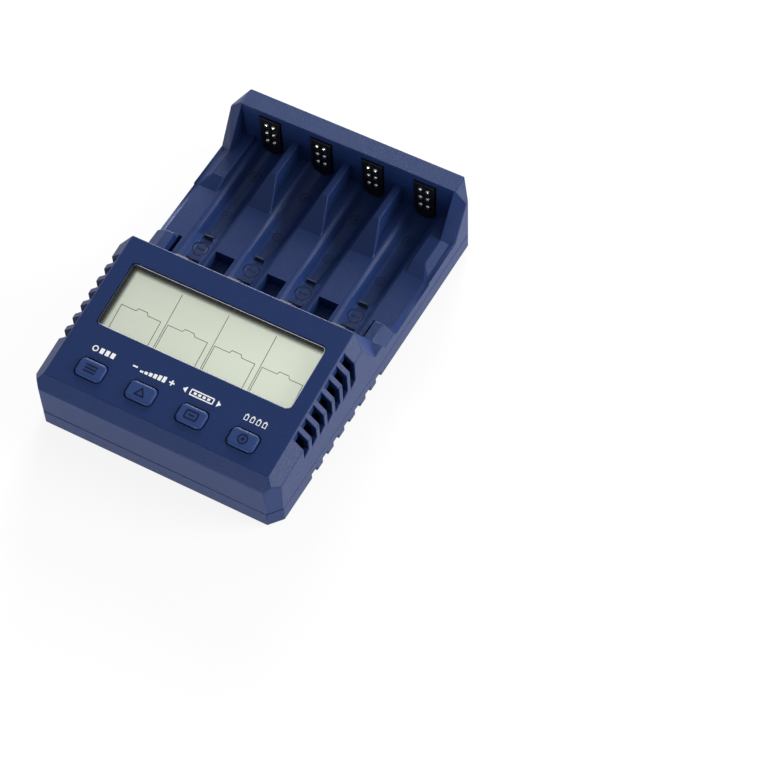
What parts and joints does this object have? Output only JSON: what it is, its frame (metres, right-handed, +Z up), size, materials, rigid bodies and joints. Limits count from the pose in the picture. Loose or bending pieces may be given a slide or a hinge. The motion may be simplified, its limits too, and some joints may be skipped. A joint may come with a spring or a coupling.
{
  "type": "aa battery charger",
  "caption": "Desktop battery charger with a sloping window and push buttons in front of stepped troughs for AA or AAA cells.",
  "frame": {"origin": "on the table, under the middle of the case", "axes": "+X to the right seen from the buttons, +Y from the buttons towards the rear wall, +Z up"},
  "size_m": [0.099, 0.145, 0.0354],
  "materials": {
    "case_blue": "satin moulded plastic, fine grain",
    "base_blue": "satin moulded plastic, fine grain",
    "button_blue": "satin moulded plastic",
    "stem_black": "moulded plastic",
    "switch_steel": "plain",
    "lens_clear": "clear",
    "lcd_grey": "matt display glass",
    "backlight_white": "diffusing",
    "frame_white": "moulded",
    "board_green": "solder mask",
    "contact_nickel": "nickel plated",
    "spring_nickel": "nickel plated spring strip",
    "insert_black": "moulded",
    "foot_rubber": "matt",
    "screw_steel": "zinc plated",
    "socket_steel": "plated",
    "chip_black": "moulded",
    "inductor_grey": "sintered",
    "capacitor_metal": "plain",
    "beeper_black": "moulded",
    "ribbon_grey": "flexible",
    "plug_white": "moulded"
  },
  "bodies": {
    "charger": {"backlight": "backlight_white", "beeper": "beeper_black", "bottom_case": "base_blue", "capacitor_1": "capacitor_metal", "capacitor_2": "capacitor_metal", "contact_aa_1": "spring_nickel", "contact_aa_2": "spring_nickel", "contact_aa_3": "spring_nickel", "contact_aa_4": "spring_nickel", "contact_aaa_1": "spring_nickel", "contact_aaa_2": "spring_nickel", "contact_aaa_3": "spring_nickel", "contact_aaa_4": "spring_nickel", "contact_insert_1": "insert_black", "contact_insert_2": "insert_black", "contact_insert_3": "insert_black", "contact_insert_4": "insert_black", "contact_plus_1": "contact_nickel", "contact_plus_2": "contact_nickel", "contact_plus_3": "contact_nickel", "contact_plus_4": "contact_nickel", "controller_chip": "chip_black", "display_board": "board_green", "foot_1": "foot_rubber", "foot_2": "foot_rubber", "foot_3": "foot_rubber", "foot_4": "foot_rubber", "inductor_1": "inductor_grey", "inductor_2": "inductor_grey", "inductor_3": "inductor_grey", "inductor_4": "inductor_grey", "inlet_socket": "socket_steel", "lcd_frame": "frame_white", "lcd_glass": "lcd_grey", "main_board": "board_green", "ribbon": "ribbon_grey", "ribbon_plug_lower": "plug_white", "ribbon_plug_upper": "plug_white", "screw_1": "screw_steel", "screw_2": "screw_steel", "screw_3": "screw_steel", "screw_4": "screw_steel", "switch_1": "switch_steel", "switch_2": "switch_steel", "switch_3": "switch_steel", "switch_4": "switch_steel", "top_case": "case_blue", "window_lens": "lens_clear"},
    "button_1_body": {"button_1": "button_blue", "switch_stem_1": "stem_black"},
    "button_2_body": {"button_2": "button_blue", "switch_stem_2": "stem_black"},
    "button_3_body": {"button_3": "button_blue", "switch_stem_3": "stem_black"},
    "button_4_body": {"button_4": "button_blue", "switch_stem_4": "stem_black"}
  },
  "joints": [
    {"name": "button_1_press", "type": "slide", "parent": "charger", "child": "button_1_body", "axis": [0, 0.1599, -0.9871], "range_m": [0, 0.0004], "stiffness_N_per_m": 400, "springref_m": -0.0003},
    {"name": "button_2_press", "type": "slide", "parent": "charger", "child": "button_2_body", "axis": [0, 0.1599, -0.9871], "range_m": [0, 0.0004], "stiffness_N_per_m": 400, "springref_m": -0.0003},
    {"name": "button_3_press", "type": "slide", "parent": "charger", "child": "button_3_body", "axis": [0, 0.1599, -0.9871], "range_m": [0, 0.0004], "stiffness_N_per_m": 400, "springref_m": -0.0003},
    {"name": "button_4_press", "type": "slide", "parent": "charger", "child": "button_4_body", "axis": [0, 0.1599, -0.9871], "range_m": [0, 0.0004], "stiffness_N_per_m": 400, "springref_m": -0.0003}
  ]
}
